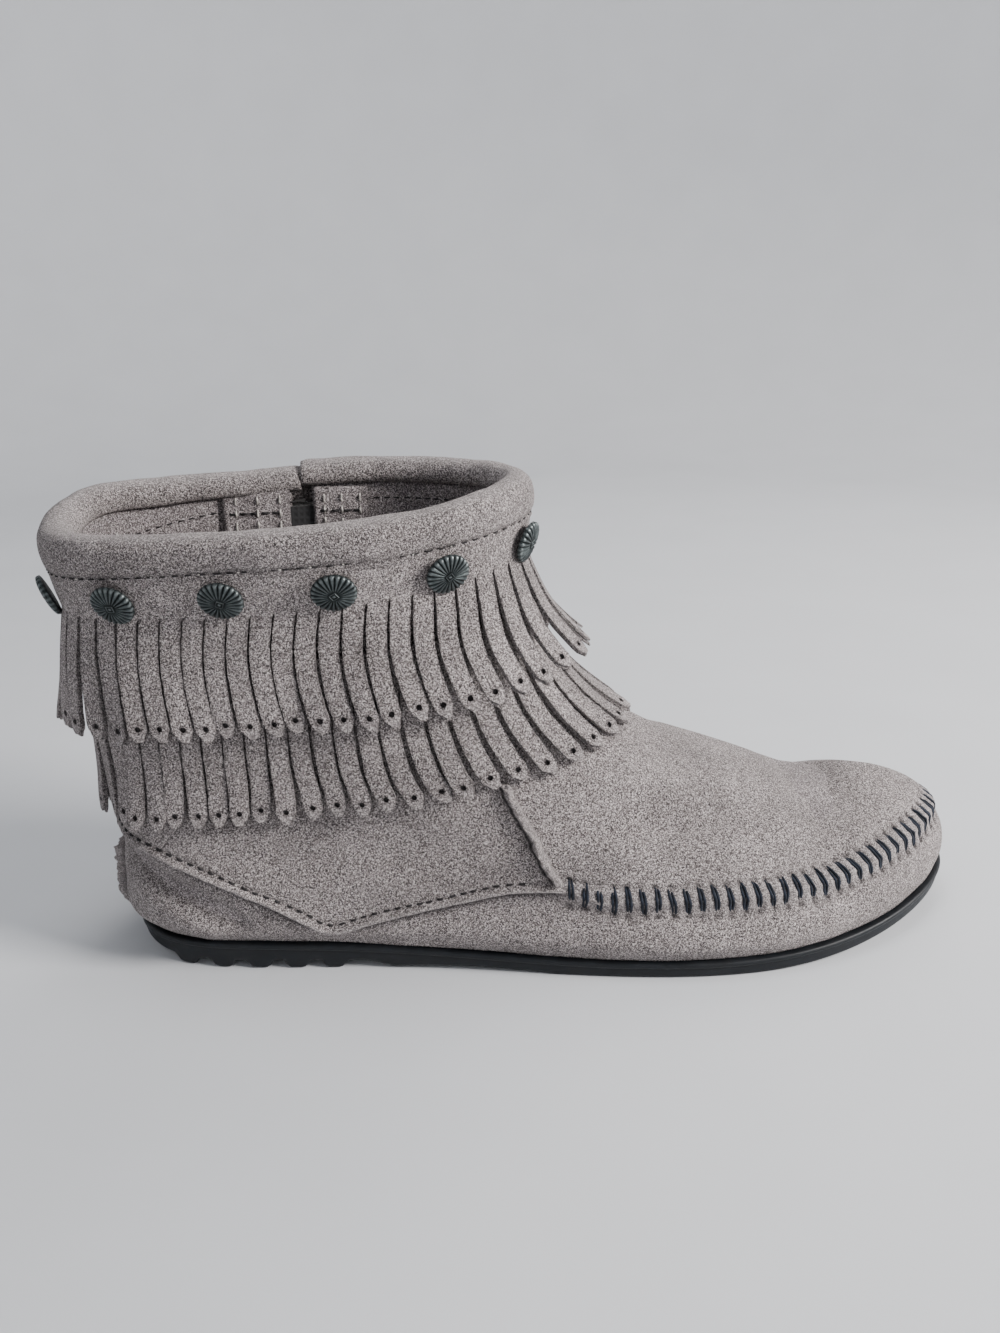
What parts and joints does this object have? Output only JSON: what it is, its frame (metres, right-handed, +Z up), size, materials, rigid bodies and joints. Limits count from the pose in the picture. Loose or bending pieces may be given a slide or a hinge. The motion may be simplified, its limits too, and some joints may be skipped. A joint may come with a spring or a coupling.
{
  "type": "moccasin ankle boot",
  "caption": "Right ankle moccasin boot: suede upper with apron toe, rolled collar, double fringe, fluted metal discs, side zip and flat rubber sole.",
  "frame": {"origin": "on the floor under the middle of the heel, at the flat of a heel lug", "axes": "+X from heel to toe, +Y to the wearer's inner side, +Z up"},
  "size_m": [0.2696, 0.0885, 0.1403],
  "materials": {
    "suede": "grey taupe suede with a short nap",
    "raw_suede": "raw cut suede edge",
    "insole": "matt lining",
    "rubber": "black, slightly glossy",
    "disc_metal": "dark aged metal with bright rims",
    "zip_metal": "dark nickel",
    "zip_cloth": "woven tape"
  },
  "bodies": {
    "boot": {"outsole": "rubber", "insole": "insole", "upper": "suede", "collar_roll": "suede", "fringe_upper": "suede", "fringe_lower": "suede", "side_seam_outer": "raw_suede", "side_seam_inner": "raw_suede", "heel_tab": "raw_suede", "concho_01": "disc_metal", "concho_02": "disc_metal", "concho_03": "disc_metal", "concho_04": "disc_metal", "concho_05": "disc_metal", "concho_06": "disc_metal", "concho_07": "disc_metal", "concho_08": "disc_metal", "concho_09": "disc_metal", "concho_10": "disc_metal", "zip_tape": "zip_cloth", "zip_chain": "zip_metal", "zip_slider": "zip_metal"},
    "pull": {"zip_pull": "zip_metal"}
  },
  "joints": [
    {"name": "zip_pull", "type": "hinge", "parent": "boot", "child": "pull", "pos_m": [0.02654, 0.03613, 0.12145], "axis": [1, 0, 0], "range_deg": [0, 140]}
  ]
}
